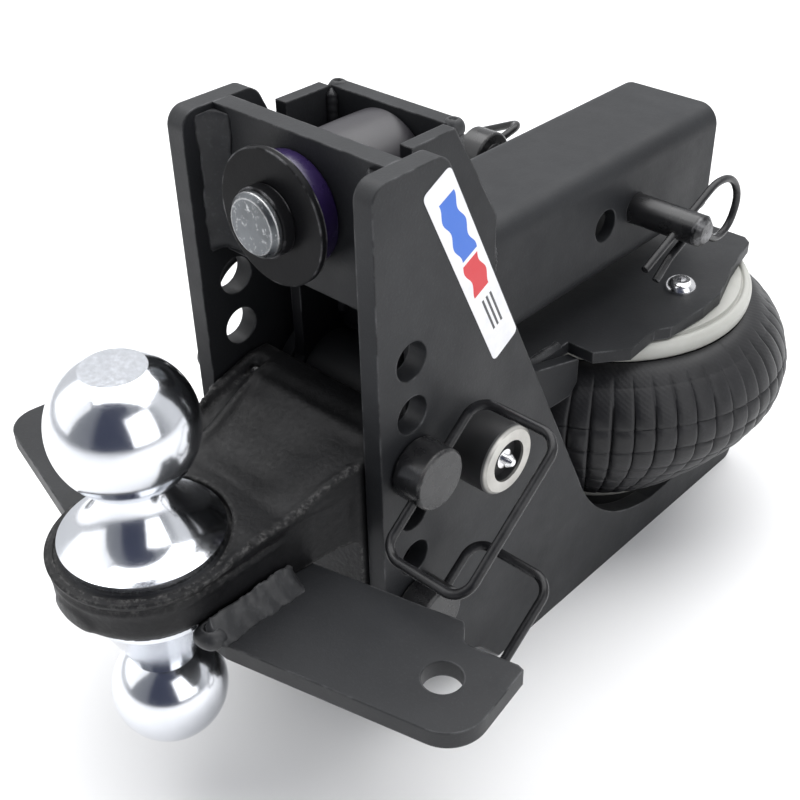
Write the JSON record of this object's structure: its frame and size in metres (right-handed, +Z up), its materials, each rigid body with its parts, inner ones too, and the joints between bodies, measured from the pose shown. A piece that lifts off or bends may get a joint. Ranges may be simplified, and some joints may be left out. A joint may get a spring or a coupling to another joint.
{
  "type": "trailer hitch with ball",
  "caption": "Air-cushioned trailer hitch: square shank, pivoting drop channel with air bag, two-ball mount with sway tabs, and lock pins with wire handles and clips.",
  "frame": {"origin": "hitch-pin axis on the centreline of the shank", "axes": "+Z up, +Y toward the vehicle along the shank, +X to the side of the lock-pin knobs"},
  "size_m": [0.2924, 0.4615, 0.296],
  "materials": {
    "powder_coat": "dark grey fine-textured powder coat",
    "bag_rubber": "moulded black rubber",
    "purple_urethane": "purple urethane",
    "grey_urethane": "grey urethane",
    "pale_paint": "off-white paint",
    "zinc": "bright zinc",
    "valve_brass": "brass",
    "bare_steel": "turned steel",
    "dark_steel": "black steel",
    "bushing_bronze": "bronze",
    "cast_black": "black-coated casting",
    "ball_chrome": "mirror chrome",
    "pin_black": "glossy black steel",
    "clip_steel": "dark spring wire"
  },
  "bodies": {
    "frame": {"shank_tube": "powder_coat", "frame_back_plate": "powder_coat", "frame_side_left": "powder_coat", "frame_side_right": "powder_coat", "pivot_arm_left": "powder_coat", "pivot_arm_right": "powder_coat", "pivot_housing": "powder_coat", "pivot_bushings": "bushing_bronze", "airbag_mount_plate": "powder_coat", "airbag_upper_bead_plate": "pale_paint", "airbag_mount_screws": "zinc", "airbag_bellows": "bag_rubber", "frame_welds": "powder_coat", "stop_rod": "bare_steel", "stop_collar": "dark_steel", "stop_washer": "dark_steel", "front_bumper": "purple_urethane", "rear_bumper": "grey_urethane"},
    "channel": {"side_plate_left": "powder_coat", "side_plate_right": "powder_coat", "channel_web": "powder_coat", "channel_welds": "powder_coat", "pivot_shaft": "bare_steel", "grease_fittings": "zinc", "airbag_seat_plate": "powder_coat", "airbag_lower_bead_plate": "pale_paint", "airbag_seat_bolts": "zinc", "airbag_valve": "valve_brass", "mount_casting": "cast_black", "upper_ball": "ball_chrome", "lower_ball": "ball_chrome", "sway_plate": "powder_coat", "mount_welds": "powder_coat"},
    "upper_pin": {"upper_pin": "pin_black"},
    "upper_pin_handle": {"upper_pin_handle": "pin_black"},
    "upper_pin_clip": {"upper_pin_clip": "clip_steel"},
    "lower_pin": {"lower_pin": "pin_black"},
    "lower_pin_handle": {"lower_pin_handle": "pin_black"},
    "lower_pin_clip": {"lower_pin_clip": "clip_steel"},
    "hitch_pin": {"hitch_pin": "pin_black"},
    "hitch_pin_handle": {"hitch_pin_handle": "pin_black"},
    "hitch_pin_clip": {"hitch_pin_clip": "clip_steel"}
  },
  "joints": [
    {"name": "channel_pivot", "type": "hinge", "parent": "frame", "child": "channel", "pos_m": [0, -0.154, -0.0485], "axis": [1, 0, 0], "range_deg": [-2, 3], "stiffness_Nm_per_rad": 3000, "springref_deg": -0.14, "deforming": ["airbag_bellows", "front_bumper", "rear_bumper"]},
    {"name": "upper_pin_slide", "type": "slide", "parent": "channel", "child": "upper_pin", "axis": [1, 0, 0], "range_m": [-0.0004, 0.003]},
    {"name": "upper_pin_handle_swing", "type": "hinge", "parent": "upper_pin", "child": "upper_pin_handle", "pos_m": [0.0666, -0.1945, -0.0368], "axis": [0, 0.788, 0.6157], "range_deg": [-80, 35]},
    {"name": "upper_pin_clip_pull", "type": "slide", "parent": "upper_pin", "child": "upper_pin_clip", "axis": [0, -0.1736, 0.9848], "range_m": [0, 0.04]},
    {"name": "lower_pin_slide", "type": "slide", "parent": "channel", "child": "lower_pin", "axis": [1, 0, 0], "range_m": [-0.0004, 0.003]},
    {"name": "lower_pin_handle_swing", "type": "hinge", "parent": "lower_pin", "child": "lower_pin_handle", "pos_m": [0.0666, -0.1945, -0.1142], "axis": [0, 0.809, 0.5878], "range_deg": [-60, 35]},
    {"name": "lower_pin_clip_pull", "type": "slide", "parent": "lower_pin", "child": "lower_pin_clip", "axis": [0, 0.1736, -0.9848], "range_m": [0, 0.04]},
    {"name": "hitch_pin_slide", "type": "slide", "parent": "frame", "child": "hitch_pin", "axis": [1, 0, 0], "range_m": [-0.025, 0.028]},
    {"name": "hitch_pin_handle_swing", "type": "hinge", "parent": "hitch_pin", "child": "hitch_pin_handle", "pos_m": [-0.07, 0, 0], "axis": [0, 0.9848, 0.1736], "range_deg": [-40, 105]},
    {"name": "hitch_pin_clip_pull", "type": "slide", "parent": "hitch_pin", "child": "hitch_pin_clip", "axis": [0, 0.9205, 0.3907], "range_m": [0, 0.04]}
  ]
}
